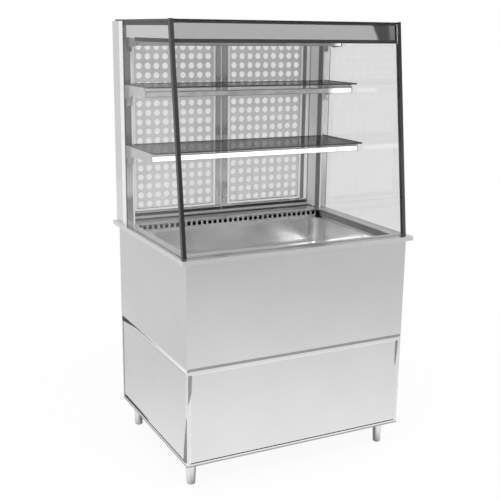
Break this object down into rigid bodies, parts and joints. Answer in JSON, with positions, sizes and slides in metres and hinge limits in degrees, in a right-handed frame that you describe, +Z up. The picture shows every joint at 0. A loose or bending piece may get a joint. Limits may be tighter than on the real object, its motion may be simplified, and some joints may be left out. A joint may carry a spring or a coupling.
{
  "type": "refrigerated counter display case",
  "caption": "Refrigerated counter display case: leaning front glass, lit glass shelves and a cooled well over a stainless steel cabinet on legs.",
  "frame": {"origin": "on the floor under the middle of the counter rim", "axes": "+Z up, -Y towards the customer's side, +X to the right as seen from the front"},
  "size_m": [0.98, 0.765, 1.72],
  "materials": {
    "brushed_stainless": "brushed stainless sheet",
    "polished_stainless": "fine ground stainless sheet",
    "clear_glass": "clear toughened glass",
    "tinted_glass": "dark tinted glass",
    "dark_anodised": "dark anodised",
    "satin_anodised": "satin anodised",
    "opal_plastic": "opal",
    "light_strip": "white board with light chips",
    "foam": "rigid insulation foam",
    "grey_plastic": "grey pipe plastic",
    "black_plastic": "fine textured black",
    "green_plastic": "translucent green",
    "black_enamel": "black enamel",
    "copper": "drawn copper tube"
  },
  "bodies": {
    "case": {"legs": "brushed_stainless", "base_frame": "brushed_stainless", "unit_plate": "brushed_stainless", "base_panel_front": "brushed_stainless", "base_panel_left": "brushed_stainless", "base_panel_right": "brushed_stainless", "louvre_panel": "brushed_stainless", "skirt_front": "brushed_stainless", "skirt_left": "brushed_stainless", "skirt_right": "brushed_stainless", "control_panel": "brushed_stainless", "rim_top": "polished_stainless", "tank_liner": "polished_stainless", "air_grille": "polished_stainless", "tank_insulation": "foam", "evaporator": "satin_anodised", "fan_plate": "brushed_stainless", "evap_motors": "black_plastic", "drain_pipe": "grey_plastic", "post_left": "brushed_stainless", "post_right": "brushed_stainless", "side_glass_left": "clear_glass", "side_glass_right": "clear_glass", "front_glass": "clear_glass", "corner_profile_left": "dark_anodised", "corner_profile_right": "dark_anodised", "roof_pane": "tinted_glass", "canopy": "brushed_stainless", "top_lamp": "satin_anodised", "top_diffuser": "opal_plastic", "shelf_upper": "clear_glass", "shelf_lower": "clear_glass", "brackets_upper": "brushed_stainless", "brackets_lower": "brushed_stainless", "lamp_upper": "satin_anodised", "diffuser_upper": "opal_plastic", "lamp_lower": "satin_anodised", "diffuser_lower": "opal_plastic", "led_strips": "light_strip", "door_sill": "satin_anodised", "door_header": "satin_anodised", "door_stops": "satin_anodised", "thermostat": "black_plastic", "switch_housings": "black_plastic", "compressor": "black_enamel", "condenser": "satin_anodised", "fan_shroud": "black_enamel", "fan_motor": "black_enamel", "refrigerant_pipes": "copper"},
    "left_door": {"door_frame_left": "satin_anodised", "dot_screen_left": "brushed_stainless", "door_pane_left": "clear_glass"},
    "right_door": {"door_frame_right": "satin_anodised", "dot_screen_right": "brushed_stainless", "door_pane_right": "clear_glass"},
    "left_air_fan": {"evap_fan_left": "black_plastic"},
    "right_air_fan": {"evap_fan_right": "black_plastic"},
    "condenser_wheel": {"condenser_fan": "satin_anodised"},
    "power_rocker": {"rocker_power": "green_plastic"},
    "light_rocker": {"rocker_light": "black_plastic"}
  },
  "joints": [
    {"name": "left_door_hinge", "type": "hinge", "parent": "case", "child": "left_door", "pos_m": [-0.427, 0.374, 1.306], "axis": [0, 0, 1], "range_deg": [0, 105]},
    {"name": "right_door_hinge", "type": "hinge", "parent": "case", "child": "right_door", "pos_m": [0.427, 0.374, 1.306], "axis": [0, 0, -1], "range_deg": [0, 105]},
    {"name": "left_air_fan_spin", "type": "hinge", "parent": "case", "child": "left_air_fan", "pos_m": [-0.19, 0.29975, 0.84], "axis": [0, 0, 1], "continuous": true},
    {"name": "right_air_fan_spin", "type": "hinge", "parent": "case", "child": "right_air_fan", "pos_m": [0.19, 0.29975, 0.84], "axis": [0, 0, 1], "continuous": true},
    {"name": "condenser_fan_spin", "type": "hinge", "parent": "case", "child": "condenser_wheel", "pos_m": [0.175, 0.2295, 0.2405], "axis": [0, -1, 0], "continuous": true},
    {"name": "power_rocker_tilt", "type": "hinge", "parent": "case", "child": "power_rocker", "pos_m": [-0.25, 0.3565, 0.59], "axis": [1, 0, 0], "range_deg": [0, 20]},
    {"name": "light_rocker_tilt", "type": "hinge", "parent": "case", "child": "light_rocker", "pos_m": [-0.19, 0.3565, 0.59], "axis": [1, 0, 0], "range_deg": [0, 20]}
  ]
}
